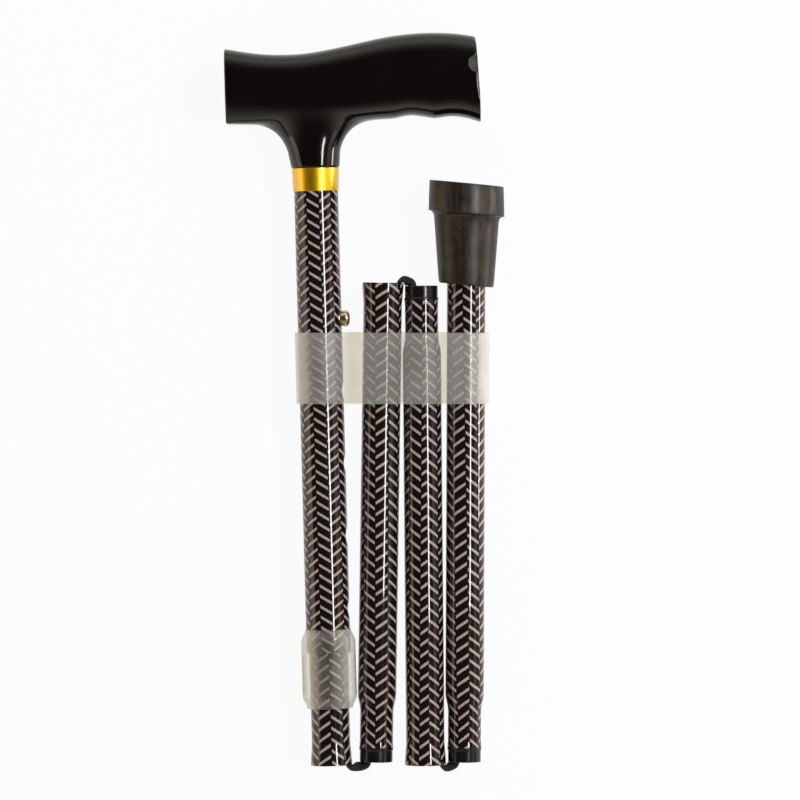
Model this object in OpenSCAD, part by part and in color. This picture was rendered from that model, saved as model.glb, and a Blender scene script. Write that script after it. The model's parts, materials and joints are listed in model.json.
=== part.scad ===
// Folding cane with an adjustable upper section, folded up and lying flat.
// +X runs to the right across the sections, +Y towards the handle, +Z up from the floor.
// Each section is drawn upright in its own frame, with Z along its tube and towards the handle.

/* [Lower tubes] */
// Outside diameter of the lower tubes
tube_d = 15.9; // [15:0.1:17]
// Wall of the lower tubes
tube_wall = 0.8; // [0.7:0.05:0.9]
// How much shorter the first lower tube is than the upper tube it slides in
tube_shorter = 2; // [0:0.5:10]
// How much shorter the middle sections are than the upper tube, from cap to mouth
section_shorter = 2; // [0:0.5:10]
// How much longer the last section is than the upper tube, from cap to tube end
last_longer = 28; // [24:0.5:30]
// How far the socket flares out at a tube's mouth
flare = 0.6; // [0.3:0.05:0.8]
// Length of the flare
flare_length = 10; // [6:0.5:11]

/* [Plugs and caps] */
// Radius of the swaged neck that enters the next socket
neck_r = 6.85; // [6.6:0.05:6.95]
// Length of the neck
neck_length = 15; // [12:0.5:18]
// Length of the taper between neck and tube
taper_length = 7.3; // [5:0.1:9]
// Height of the cap on the neck
cap_h = 6; // [4:0.5:8]
// How much smaller the cap is than the neck, on its radius
cap_step = 0.15; // [0.05:0.05:0.4]
// Length of the cap's spigot in the neck
cap_spigot = 8; // [5:0.5:12]
// Wall of the cap's spigot
cap_wall = 0.75; // [0.5:0.05:0.85]

/* [Upper section] */
// Wall of the upper tube
upper_wall = 1; // [0.8:0.05:1.3]
// Length of the upper tube, which the lengths of the other tubes follow
upper_length = 200; // [190:1:215]
// Length of lower tube that shows below the upper tube
tube_showing = 46.7; // [44:0.1:50]
// Number of height holes
height_holes = 5; // [2:1:5]
// Distance between height holes
hole_pitch = 30; // [20:0.5:30]
// Distance of the button below the top of the lower tube
button_drop = 13.6; // [12:0.1:20]

/* [Lock sleeve] */
// Wall of the lock sleeve around the upper tube
sleeve_wall = 1.95; // [1.5:0.05:2.3]
// Length of the lock sleeve
sleeve_length = 32.6; // [28:0.1:34]
// How much of the sleeve covers the upper tube
sleeve_cover = 9.5; // [8:0.1:10]
// Length of the sleeve's end chamfers
sleeve_chamfer = 5; // [3:0.1:6]

/* [Button] */
// Radius of the snap button
button_r = 3.4; // [2.8:0.05:3.6]
// How far the button stands out of the upper tube
button_proud = 3.4; // [2.5:0.1:4]
// Rounding of the button's edge
button_round = 1.1; // [0.5:0.1:1.5]

/* [Handle] */
// Length of the handle
handle_length = 105; // [95:1:120]
// Reach of the handle to the left of the tube
handle_left = 36.3; // [32:0.1:42]
// Height of the handle above the tube
handle_h = 54; // [50:0.5:60]
// Depth of the handle, front to back
handle_depth = 28; // [24:0.5:31]
// Length of the handle's spigot in the upper tube
spigot_length = 28; // [20:1:34]
// Wall of the ring below the handle
ring_wall = 0.55; // [0.4:0.05:0.8]
// Height of the ring
ring_h = 9.5; // [7:0.1:12]

/* [Tip] */
// Radius of the tip's flange
flange_r = 15.8; // [15:0.1:17]
// Height of the tip's flange
flange_h = 12.4; // [10:0.1:14]
// Radius of the tip just above the flange
tip_waist_r = 13.4; // [12.5:0.1:14]
// Wall of the tip at its mouth
tip_wall = 3.35; // [2.5:0.05:3.4]
// Height of the tip
tip_h = 42; // [40:0.5:44]
// Depth to which the tube enters the tip
tip_bore_depth = 31; // [28:0.5:33]
// Thickness of the washer under the tube
washer_h = 1.5; // [1:0.1:2]

/* [Cord] */
// Diameter of the stretched elastic cord
cord_d = 3.2; // [2.6:0.1:3.3]
// Bend radius of the cord where it turns from one tube into the next
loop_bend = 2.2; // [2:0.05:2.6]

/* [Strap] */
// Width of the holding strap along the tubes
strap_w = 29.3; // [24:0.1:34]
// Thickness of the strap
strap_t = 0.9; // [0.6:0.05:1.2]
// Distance of the strap's upper edge below the middle of the button
strap_drop = 5.7; // [4.5:0.1:12]

/* [Lie of the folded cane] */
// Lean of the upper section to the left
lean = 1.54; // [1:0.01:2]
// Angle left between sections 1 and 2
splay_12 = 2.38; // [2:0.01:3]
// Angle left between sections 2 and 3
splay_23 = 1.36; // [1:0.01:2]
// Angle left between sections 3 and 4
splay_34 = 0.73; // [0.5:0.01:1.2]
// Gap between neighbouring sections
section_gap = 0.35; // [0.3:0.05:0.6]

/* [Hidden] */
$fn = 96;

// Clearances
slide_fit = 0.15;
seat_fit = 0.05;
rub_gap = 0.1;
cord_gap = 0.25;
overrun = 1;

// Radii that follow from the tubes
tube_r = tube_d / 2;
bore_r = tube_r - tube_wall;
mouth_r = tube_r + flare;
cap_r = neck_r - cap_step;
cap_bore_r = neck_r - tube_wall - seat_fit - cap_wall;
upper_bore_r = tube_r + slide_fit;
upper_r = upper_bore_r + upper_wall;
sleeve_r = upper_r + slide_fit + sleeve_wall;
sleeve_nose_r = sleeve_r - sleeve_wall;
ring_r = upper_r + seat_fit + ring_wall;
ring_draft = 0.3;
stem_lip = 0.25;
stem_r = ring_r + stem_lip;
tip_mouth_r = tube_r + seat_fit + tip_wall;
cord_r = cord_d / 2;

// Lengths of the sections
tube_length = upper_length - tube_shorter;
section_length = upper_length - section_shorter;
last_length = upper_length + last_longer;

// Heights in the first section, from its mouth
upper_bottom = tube_showing;
handle_base = upper_bottom + upper_length;
sleeve_top = upper_bottom + sleeve_cover;
sleeve_bottom = sleeve_top - sleeve_length;
button_z = tube_length - button_drop;

// Button and its leaf spring
button_flange_lip = 0.9;
button_flange_r = button_r + button_flange_lip;
button_flange_h = 0.6;
button_flange_x = sqrt(bore_r * bore_r - button_flange_r * button_flange_r) - rub_gap;
button_top_x = upper_r + button_proud;
leaf_t = 0.6;
leaf_w = 6;
leaf_x = button_flange_x - button_flange_h - rub_gap;
leaf_back_x = sqrt(bore_r * bore_r - leaf_w * leaf_w / 4) - rub_gap;
leaf_tail = 7;
leaf_fork = 24;

// Cord anchors, the upper one far enough below the spring for its knot
anchor_h = 6;
knot_r = 3.6;
knot_sink = 0.8;
knot_room = 1;
anchor_z = button_z - leaf_fork - knot_room - 2 * knot_r + knot_sink - anchor_h;
anchor_hole_r = cord_r + rub_gap;

// Plugs, and the folds between the sections
plug_length = cap_h + neck_length + taper_length;
cap_setback = 1.2;
fold_drop = 0.2;
fold_gap = 2 * fold_drop + cap_setback;
seat_depth = cap_h + neck_length;
insert_travel = seat_depth + fold_gap;
section_end = -fold_gap - section_length;
last_end = -fold_gap - last_length;

// Spacing of neighbouring tubes where they fold
beside_mouth = mouth_r + neck_r + section_gap;
beside_sleeve = sleeve_r + tube_r + section_gap;
beside_tube = tube_d + section_gap;
beside_tip = tip_mouth_r + neck_r + section_gap;
spacing_12 = max(beside_mouth, beside_sleeve - plug_length * sin(splay_12));
spacing_23 = max(beside_mouth, beside_tube - plug_length * sin(splay_23));
spacing_34 = max(beside_mouth, beside_tube - plug_length * sin(splay_34),
                 beside_tip - section_length * sin(splay_34));

// Where the cord runs in a socket and in a cap, from the tube's axis, and how far a loop reaches in
cord_exit = bore_r - cord_r - cord_gap;
cord_entry = cap_bore_r - cord_r - rub_gap;
loop_leg = 4;
loop_sides = 8;
loop_step = 15;

// Tip, from the end of the last tube
tip_floor = last_end + tip_bore_depth - tip_h;
tip_mouth = tip_floor + tip_h;
flange_draft = 0.5;
tip_ground_r = flange_r - flange_draft;
tip_edge = 1;
tip_step = 0.8;
washer_r = tube_r - seat_fit;
washer_hole_r = 3;

// Strap
strap_slack = 0.75;
strap_in_r = upper_r + strap_slack;
strap_bottom = button_z - strap_drop - strap_w;

// Handle outline: each pair is a share along the handle and a share of its height
top_shares = [[0, 0.917], [0.15, 0.87], [0.25, 0.86], [0.36, 0.877], [0.51, 0.932], [0.65, 0.979],
              [0.79, 1], [0.93, 0.984], [0.98, 0.966], [1, 0.93]];
under_shares = [[0, 0.352], [0.12, 0.342], [0.3, 0.335], [0.5, 0.34], [0.61, 0.357], [0.65, 0.357],
                [0.72, 0.381], [0.785, 0.366], [0.815, 0.354], [0.885, 0.366], [0.94, 0.352], [1, 0.313]];
// Stem outline: each pair is a share of the handle's height and a share of the stem's radius
stem_left_shares = [[0, 1], [0.06, 1.06], [0.15, 1.18], [0.23, 1.41], [0.28, 1.66], [0.31, 1.9],
                    [0.33, 2.15], [0.36, 2.5], [0.5, 2.6]];
stem_right_shares = [[0, 1], [0.08, 1.03], [0.15, 1.08], [0.2, 1.21], [0.245, 1.34], [0.295, 1.6],
                     [0.325, 1.85], [0.36, 2.3], [0.5, 2.5]];
stem_depth_shares = [[0, 1], [0.15, 1.1], [0.3, 1.3], [0.5, 1.36]];
stem_top_share = 0.5;
arm_steps = 34;
stem_steps = 16;
ring_points = 28;
arm_squareness = 3.2;
// How far the top of the handle's right end is set back from its foot
end_rake = 2.4;
end_rake_power = 4;
// Round notch in the front edge of the handle's right end, with its height as a share of the handle's
notch_share = 0.8;
notch_r = 3.9;
notch_depth = 0.9;

// A frame is the place of a section's origin in the plane of the cane, and its turn about Y
function turn(p, a) = [p.x * cos(a) + p.y * sin(a), p.y * cos(a) - p.x * sin(a)];
function place(frame, p) = frame[0] + turn(p, frame[1]);
function mouth_of(frame, end) = [place(frame, [0, end]), frame[1]];
function pivot_of(side, spacing) = [side * spacing / 2, -fold_drop];
function folded(mouth, side, spacing, splay) =
    let (pivot = pivot_of(side, spacing), angle = side * (splay - 180))
    [place(mouth, pivot + turn(-pivot, angle)), mouth[1] + angle];

frame_1 = [[0, 0], -lean];
frame_2 = folded(frame_1, 1, spacing_12, splay_12);
mouth_2 = mouth_of(frame_2, section_end);
frame_3 = folded(mouth_2, -1, spacing_23, splay_23);
mouth_3 = mouth_of(frame_3, section_end);
frame_4 = folded(mouth_3, 1, spacing_34, splay_34);

// The folded cane rests on the tip's flange and on the sleeve
rest_span = place(frame_4, [0, tip_floor + flange_h]).y - sleeve_bottom - sleeve_chamfer;
lie_tilt = atan((flange_r - sleeve_r) / rest_span);
cane_left = place(frame_1, [-handle_left, handle_base + handle_h / 2]).x;
cane_right = place(frame_4, [-flange_r, tip_floor]).x;
cane_top = place(frame_1, [handle_length / 2, handle_base + handle_h]).y;
cane_bottom = -loop_bend - cord_r;
cane_floor = flange_r / cos(lie_tilt) - place(frame_4, [0, tip_floor + flange_h]).y * sin(lie_tilt);
row_origin = [-(cane_left + cane_right) / 2, -(cane_top + cane_bottom) / 2, cane_floor];

// Points of a smooth curve through a list of pairs
function slope(pairs, i) =
    let (a = pairs[max(i - 1, 0)], b = pairs[min(i + 1, len(pairs) - 1)]) (b.y - a.y) / (b.x - a.x);
function stretch(pairs, x, i = 0) =
    i >= len(pairs) - 2 || x <= pairs[i + 1].x ? i : stretch(pairs, x, i + 1);
function smooth(pairs, x) =
    let (i = stretch(pairs, x), a = pairs[i], b = pairs[i + 1], w = b.x - a.x, t = (x - a.x) / w)
    a.y * (1 + 2 * t) * pow(1 - t, 2) + b.y * t * t * (3 - 2 * t)
    + w * t * (1 - t) * (slope(pairs, i) * (1 - t) - slope(pairs, i + 1) * t);

// Faces of a skin over equal rings of points
function skin_faces(rings, count) = concat(
    [[for (j = [0:count - 1]) j]],
    [for (i = [0:rings - 2], j = [0:count - 1], half = [0, 1])
        let (a = i * count + j, b = i * count + (j + 1) % count)
        half == 0 ? [a, a + count, b] : [b, a + count, b + count]],
    [[for (j = [count - 1:-1:0]) (rings - 1) * count + j]]);

// Lays the upright cane on its back, with the origin under the middle of its box
module lay() {
    translate(row_origin) rotate([lie_tilt, 0, 0]) rotate([-90, 0, 0]) children();
}

module in_frame(frame) {
    lay() translate([frame[0].x, 0, frame[0].y]) rotate([0, frame[1], 0]) children();
}

// A straight run of cord between two points of a section's plane
module cord_run(from, to) {
    run = to - from;
    color([0.06, 0.06, 0.06])
        translate([from.x, 0, from.y])
            rotate([0, atan2(run.x, run.y), 0]) cylinder(h = norm(run), r = cord_r);
}

// A loop of cord out of one socket and into the next cap, drawn from the middle of the mouth
module cord_loop(side, spacing, splay) {
    next = folded([[0, 0], 0], 1, spacing, splay);
    far = place(next, [cord_entry, cap_setback - fold_gap]).x;
    arc = [for (a = [0:loop_step:90]) loop_bend * [1 - cos(a), -sin(a)]];
    last = len(arc) - 1;
    route = concat(
        [[cord_exit, loop_leg]],
        [for (p = arc) [cord_exit + p.x, p.y]],
        [for (i = [last:-1:0]) [far - arc[i].x, arc[i].y]],
        [place(next, [cord_entry, -fold_gap - loop_leg])]);
    ends = len(route) - 1;
    points = [for (i = [0:ends], j = [0:loop_sides - 1])
        let (along = route[min(i + 1, ends)] - route[max(i - 1, 0)],
             across = [along.y, -along.x] / norm(along),
             t = j * 360 / loop_sides)
        [side * (route[i].x + cord_r * cos(t) * across.x), side * cord_r * sin(t),
         route[i].y + cord_r * cos(t) * across.y]];
    color([0.06, 0.06, 0.06])
        polyhedron(points, skin_faces(len(route), loop_sides));
}

// A tube with a plug at its upper end and a mouth at its lower end
module plug_tube(end, end_r, end_length) {
    neck_top = -fold_gap - cap_h;
    neck_end = neck_top - neck_length;
    taper_end = neck_end - taper_length;
    color([0.1, 0.08, 0.08])
        rotate_extrude()
            polygon([[neck_r - tube_wall, neck_top], [neck_r - tube_wall, neck_end], [bore_r, taper_end],
                     [bore_r, end + end_length], [end_r - tube_wall, end], [end_r, end],
                     [tube_r, end + end_length], [tube_r, taper_end], [neck_r, neck_end],
                     [neck_r, neck_top]]);
}

module plug_cap() {
    foot = -fold_gap - cap_h;
    tail = foot - cap_spigot;
    spigot_r = neck_r - tube_wall - seat_fit;
    edge = cap_step;
    color([0.07, 0.07, 0.07])
        rotate_extrude()
            polygon([[cap_bore_r, tail], [spigot_r, tail], [spigot_r, foot], [cap_r, foot],
                     [cap_r, -fold_gap - edge], [cap_r - edge, -fold_gap], [cap_bore_r + edge, -fold_gap],
                     [cap_bore_r, -fold_gap - edge]]);
}

module cord_anchor(z) {
    color([0.85, 0.85, 0.82])
        translate([0, 0, z])
            difference() {
                cylinder(h = anchor_h, r = bore_r - seat_fit);
                translate([0, 0, -overrun]) cylinder(h = anchor_h + 2 * overrun, r = anchor_hole_r);
            }
}

// The knot bears on one face of its anchor, and its cord passes through the hole
module cord_knot(z, up) {
    face = up > 0 ? z + anchor_h : z;
    color([0.06, 0.06, 0.06]) {
        translate([0, 0, z]) cylinder(h = anchor_h, r = cord_r);
        translate([0, 0, face])
            difference() {
                translate([0, 0, up * (knot_r - knot_sink)]) sphere(r = knot_r);
                translate([-knot_r, -knot_r, up > 0 ? -2 * knot_r : 0]) cube(2 * knot_r);
            }
    }
}

module handle_grip() {
    arm = [for (i = [0:arm_steps], j = [0:ring_points - 1])
        let (s = i / arm_steps, t = j * 360 / ring_points, c = cos(t), n = sin(t),
             top = handle_h * smooth(top_shares, s), under = handle_h * smooth(under_shares, s),
             rise = (1 + sign(n) * pow(abs(n), 2 / arm_squareness)) / 2)
        [handle_length * s - handle_left - end_rake * rise * pow(s, end_rake_power),
         handle_depth / 2 * sign(c) * pow(abs(c), 2 / arm_squareness),
         handle_base + under + (top - under) * rise]];
    stem = [for (i = [0:stem_steps], j = [0:ring_points - 1])
        let (s = stem_top_share * i / stem_steps, t = j * 360 / ring_points,
             side_shares = cos(t) < 0 ? stem_left_shares : stem_right_shares)
        [stem_r * smooth(side_shares, s) * cos(t), stem_r * smooth(stem_depth_shares, s) * sin(t),
         handle_base + handle_h * s]];
    color([0.04, 0.035, 0.035])
        in_frame(frame_1) {
            difference() {
                union() {
                    polyhedron(arm, skin_faces(arm_steps + 1, ring_points));
                    polyhedron(stem, skin_faces(stem_steps + 1, ring_points));
                }
                translate([handle_length - handle_left - end_rake, notch_depth - handle_depth / 2,
                           handle_base + handle_h * notch_share])
                    rotate([90, 0, 0]) cylinder(h = handle_depth, r = notch_r);
            }
            translate([0, 0, handle_base - spigot_length])
                cylinder(h = spigot_length, r = upper_bore_r - seat_fit);
        }
}

module handle_ring() {
    bottom = handle_base - ring_h;
    color([0.85, 0.6, 0.1])
        in_frame(frame_1) rotate_extrude()
            polygon([[upper_r + seat_fit, bottom], [ring_r - ring_draft, bottom], [ring_r, handle_base],
                     [upper_r + seat_fit, handle_base]]);
}

module upper_tube() {
    color([0.1, 0.08, 0.08])
        in_frame(frame_1)
            difference() {
                translate([0, 0, upper_bottom]) cylinder(h = upper_length, r = upper_r);
                translate([0, 0, upper_bottom - overrun])
                    cylinder(h = upper_length + 2 * overrun, r = upper_bore_r);
                for (i = [0:height_holes - 1])
                    translate([0, 0, button_z - i * hole_pitch])
                        rotate([0, 90, 0]) cylinder(h = upper_r + overrun, r = button_r + slide_fit);
            }
}

module lock_sleeve() {
    inner_r = tube_r + slide_fit;
    cover_r = upper_r + slide_fit;
    color([0.85, 0.83, 0.78, 0.6])
        in_frame(frame_1) rotate_extrude()
            polygon([[inner_r, sleeve_bottom], [sleeve_nose_r, sleeve_bottom],
                     [sleeve_r, sleeve_bottom + sleeve_chamfer], [sleeve_r, sleeve_top - sleeve_chamfer],
                     [sleeve_nose_r + slide_fit, sleeve_top], [cover_r, sleeve_top],
                     [cover_r, upper_bottom - rub_gap], [inner_r, upper_bottom - rub_gap]]);
}

module section_1_tube() {
    color([0.1, 0.08, 0.08])
        in_frame(frame_1)
            difference() {
                rotate_extrude()
                    polygon([[mouth_r - tube_wall, 0], [mouth_r, 0], [tube_r, flare_length],
                             [tube_r, tube_length], [bore_r, tube_length], [bore_r, flare_length]]);
                translate([0, 0, button_z])
                    rotate([0, 90, 0]) cylinder(h = tube_r + overrun, r = button_r + slide_fit);
            }
}

module snap_button() {
    flange_back = button_flange_x - button_flange_h;
    edge = [for (a = [0:loop_step:90])
        [button_r - button_round + button_round * cos(a), button_top_x - button_round + button_round * sin(a)]];
    color([0.75, 0.72, 0.6])
        in_frame(frame_1) translate([0, 0, button_z]) rotate([0, 90, 0]) rotate_extrude()
            polygon(concat([[0, flange_back], [button_flange_r, flange_back],
                            [button_flange_r, button_flange_x], [button_r, button_flange_x]],
                           edge, [[0, button_top_x]]));
}

module button_spring() {
    fork = button_z - leaf_fork;
    knee = button_z - button_flange_r - leaf_t;
    tail = button_z + leaf_tail;
    color([0.6, 0.6, 0.62])
        in_frame(frame_1) translate([0, leaf_w / 2, 0]) rotate([90, 0, 0]) linear_extrude(leaf_w)
            polygon([[-leaf_t, fork], [leaf_t, fork], [leaf_x, knee], [leaf_x, tail], [leaf_x - leaf_t, tail],
                     [leaf_x - leaf_t, knee], [0, fork + 2 * leaf_t], [leaf_t - leaf_back_x, knee],
                     [leaf_t - leaf_back_x, tail], [-leaf_back_x, tail], [-leaf_back_x, knee]]);
}

module cord_anchor_upper() {
    in_frame(frame_1) cord_anchor(anchor_z);
}

module cord_knot_upper() {
    in_frame(frame_1) cord_knot(anchor_z, 1);
}

module cord_1() {
    in_frame(frame_1) cord_run([cord_exit, loop_leg + cord_gap], [0, anchor_z - cord_gap]);
}

module fold_cord_12() {
    in_frame(frame_1) cord_loop(1, spacing_12, splay_12);
}

module section_2_tube() {
    in_frame(frame_2) plug_tube(section_end, mouth_r, flare_length);
}

module section_2_cap() {
    in_frame(frame_2) plug_cap();
}

module cord_2() {
    in_frame(frame_2)
        cord_run([cord_entry, -fold_gap - loop_leg - cord_gap], [-cord_exit, section_end + loop_leg + cord_gap]);
}

module fold_cord_23() {
    in_frame(mouth_2) cord_loop(-1, spacing_23, splay_23);
}

module section_3_tube() {
    in_frame(frame_3) plug_tube(section_end, mouth_r, flare_length);
}

module section_3_cap() {
    in_frame(frame_3) plug_cap();
}

module cord_3() {
    in_frame(frame_3)
        cord_run([-cord_entry, -fold_gap - loop_leg - cord_gap], [cord_exit, section_end + loop_leg + cord_gap]);
}

module fold_cord_34() {
    in_frame(mouth_3) cord_loop(1, spacing_34, splay_34);
}

module section_4_tube() {
    in_frame(frame_4) plug_tube(last_end, tube_r, flare_length);
}

module section_4_cap() {
    in_frame(frame_4) plug_cap();
}

module cord_4() {
    in_frame(frame_4)
        cord_run([cord_entry, -fold_gap - loop_leg - cord_gap], [0, tip_mouth + anchor_h + cord_gap]);
}

module cord_anchor_lower() {
    in_frame(frame_4) cord_anchor(tip_mouth);
}

module cord_knot_lower() {
    in_frame(frame_4) cord_knot(tip_mouth, -1);
}

module rubber_tip() {
    bore = tube_r + seat_fit;
    flange_top = tip_floor + flange_h;
    color([0.2, 0.18, 0.16])
        in_frame(frame_4) rotate_extrude()
            polygon([[0, tip_floor], [tip_ground_r, tip_floor], [flange_r, flange_top - tip_edge],
                     [flange_r - tip_step, flange_top], [tip_waist_r, flange_top + tip_edge],
                     [tip_mouth_r, tip_mouth - tip_edge], [tip_mouth_r - tip_edge, tip_mouth],
                     [bore, tip_mouth], [bore, last_end - washer_h], [0, last_end - washer_h]]);
}

module tip_washer() {
    color([0.7, 0.7, 0.72])
        in_frame(frame_4)
            translate([0, 0, last_end - washer_h])
                difference() {
                    cylinder(h = washer_h, r = washer_r);
                    translate([0, 0, -overrun]) cylinder(h = washer_h + 2 * overrun, r = washer_hole_r);
                }
}

// A flat loop round all four sections
module holding_strap() {
    middle = strap_bottom + strap_w / 2;
    left = place(frame_1, [0, middle]).x;
    right = place(frame_4, [0, -middle]).x;
    color([0.88, 0.86, 0.8, 0.5])
        lay() translate([0, 0, strap_bottom]) linear_extrude(strap_w)
            difference() {
                strap_outline(left, right, strap_in_r + strap_t);
                strap_outline(left, right, strap_in_r);
            }
}

module strap_outline(left, right, r) {
    translate([left, 0]) circle(r = r);
    translate([right, 0]) circle(r = r);
    translate([left, -r]) square([right - left, 2 * r]);
}

handle_grip();
handle_ring();
upper_tube();
lock_sleeve();
section_1_tube();
snap_button();
button_spring();
cord_anchor_upper();
cord_knot_upper();
cord_1();
fold_cord_12();
section_2_tube();
section_2_cap();
cord_2();
fold_cord_23();
section_3_tube();
section_3_cap();
cord_3();
fold_cord_34();
section_4_tube();
section_4_cap();
cord_4();
cord_anchor_lower();
cord_knot_lower();
rubber_tip();
tip_washer();
holding_strap();
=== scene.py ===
"""Folding cane, folded up: its looks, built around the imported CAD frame."""

import json
import math

import bpy
from bpy.props import FloatProperty, FloatVectorProperty, IntProperty, PointerProperty
from bpy.types import Operator, Panel, PropertyGroup
from mathutils import Matrix, Vector


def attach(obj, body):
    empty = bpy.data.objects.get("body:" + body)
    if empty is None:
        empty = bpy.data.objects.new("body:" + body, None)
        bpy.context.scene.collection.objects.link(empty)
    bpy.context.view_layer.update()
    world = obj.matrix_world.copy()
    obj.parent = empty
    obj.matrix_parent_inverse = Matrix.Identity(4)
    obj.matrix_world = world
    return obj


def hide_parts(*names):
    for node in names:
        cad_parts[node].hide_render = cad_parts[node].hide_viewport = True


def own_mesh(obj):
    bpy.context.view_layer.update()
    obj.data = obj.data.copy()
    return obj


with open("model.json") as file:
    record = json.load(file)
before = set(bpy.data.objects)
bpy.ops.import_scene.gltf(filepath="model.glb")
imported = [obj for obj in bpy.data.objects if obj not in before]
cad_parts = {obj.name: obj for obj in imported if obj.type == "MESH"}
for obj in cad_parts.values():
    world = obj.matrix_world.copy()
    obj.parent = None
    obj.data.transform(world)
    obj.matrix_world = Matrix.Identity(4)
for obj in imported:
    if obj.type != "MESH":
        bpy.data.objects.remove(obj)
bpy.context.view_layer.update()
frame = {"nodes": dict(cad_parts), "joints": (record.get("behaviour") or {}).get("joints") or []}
JOINTS = {joint["name"]: joint for joint in frame["joints"]}

bl_info = {
    "name": "Folding cane",
    "version": (1, 0, 0),
    "blender": (4, 5, 0),
    "location": "View3D > Sidebar > Cane",
    "description": "Builds the looks of a folding cane around its CAD frame",
    "category": "Add Mesh",
}


def length(label, text, value):
    return FloatProperty(name=label, description=text, default=value, unit="LENGTH", precision=5)


def colour(label, text, value):
    return FloatVectorProperty(name=label, description=text, default=value, subtype="COLOR", min=0, max=1)


def degrees(label, text, value):
    return FloatProperty(name=label, description=text, default=math.radians(value), subtype="ANGLE")


def plain(label, text, value):
    return FloatProperty(name=label, description=text, default=value)


class CaneTubeSizes(PropertyGroup):
    """Sizes of the tubes, their plugs and the folds between them."""

    tube_r: length("Tube radius", "Outside radius of the lower tubes", 0.00795)
    tube_wall: length("Tube wall", "Wall of the lower tubes", 0.0008)
    tube_length: length("First tube", "Length of the first lower tube", 0.198)
    section_length: length("Section", "Length of a middle section, cap to mouth", 0.198)
    last_length: length("Last section", "Length of the last section, cap to tube end", 0.228)
    flare: length("Flare", "How far a mouth flares out", 0.0006)
    flare_length: length("Flare length", "Length of the flare", 0.010)
    neck_r: length("Neck radius", "Radius of the swaged neck", 0.00685)
    neck_length: length("Neck length", "Length of the neck", 0.015)
    neck_brim: length("Neck brim", "How far a neck widens at its cap", 0.00015)
    brim_length: length("Brim length", "Length of the brim", 0.003)
    taper_length: length("Taper", "Length of the taper from neck to tube", 0.0073)
    support: length("Support", "Distance of the rings that hold a straight wall straight", 0.001)
    cap_h: length("Cap height", "Height of the cap on a neck", 0.006)
    cap_r: length("Cap radius", "Outside radius of the cap", 0.00677)
    cap_bore_r: length("Cap bore", "Radius of the cap's bore", 0.00525)
    cap_spigot: length("Cap spigot", "Length of the cap's spigot", 0.008)
    fold_gap: length("Fold gap", "Distance of a cap's face from its fold", 0.0016)
    fold_drop: length("Fold drop", "Distance of a fold's pivot from the mouth", 0.0002)
    spacing_12: length("Spacing 1-2", "Spacing of sections 1 and 2 at their fold", 0.018325)
    spacing_23: length("Spacing 2-3", "Spacing of sections 2 and 3 at their fold", 0.01575)
    spacing_34: length("Spacing 3-4", "Spacing of sections 3 and 4 at their fold", 0.016027)
    upper_r: length("Upper radius", "Outside radius of the upper tube", 0.0091)
    upper_wall: length("Upper wall", "Wall of the upper tube", 0.001)
    upper_length: length("Upper length", "Length of the upper tube", 0.2)
    tube_showing: length("Tube showing", "Length of tube below the upper tube", 0.0467)
    button_z: length("Button height", "Height of the button above the first mouth", 0.1844)
    hole_r: length("Hole radius", "Radius of a height hole", 0.00355)
    hole_pitch: length("Hole pitch", "Distance between height holes", 0.030)
    holes: IntProperty(name="Holes", description="Number of height holes", default=5, min=1)
    sides: IntProperty(name="Sides", description="Sides of a round piece", default=96, min=12)


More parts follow.
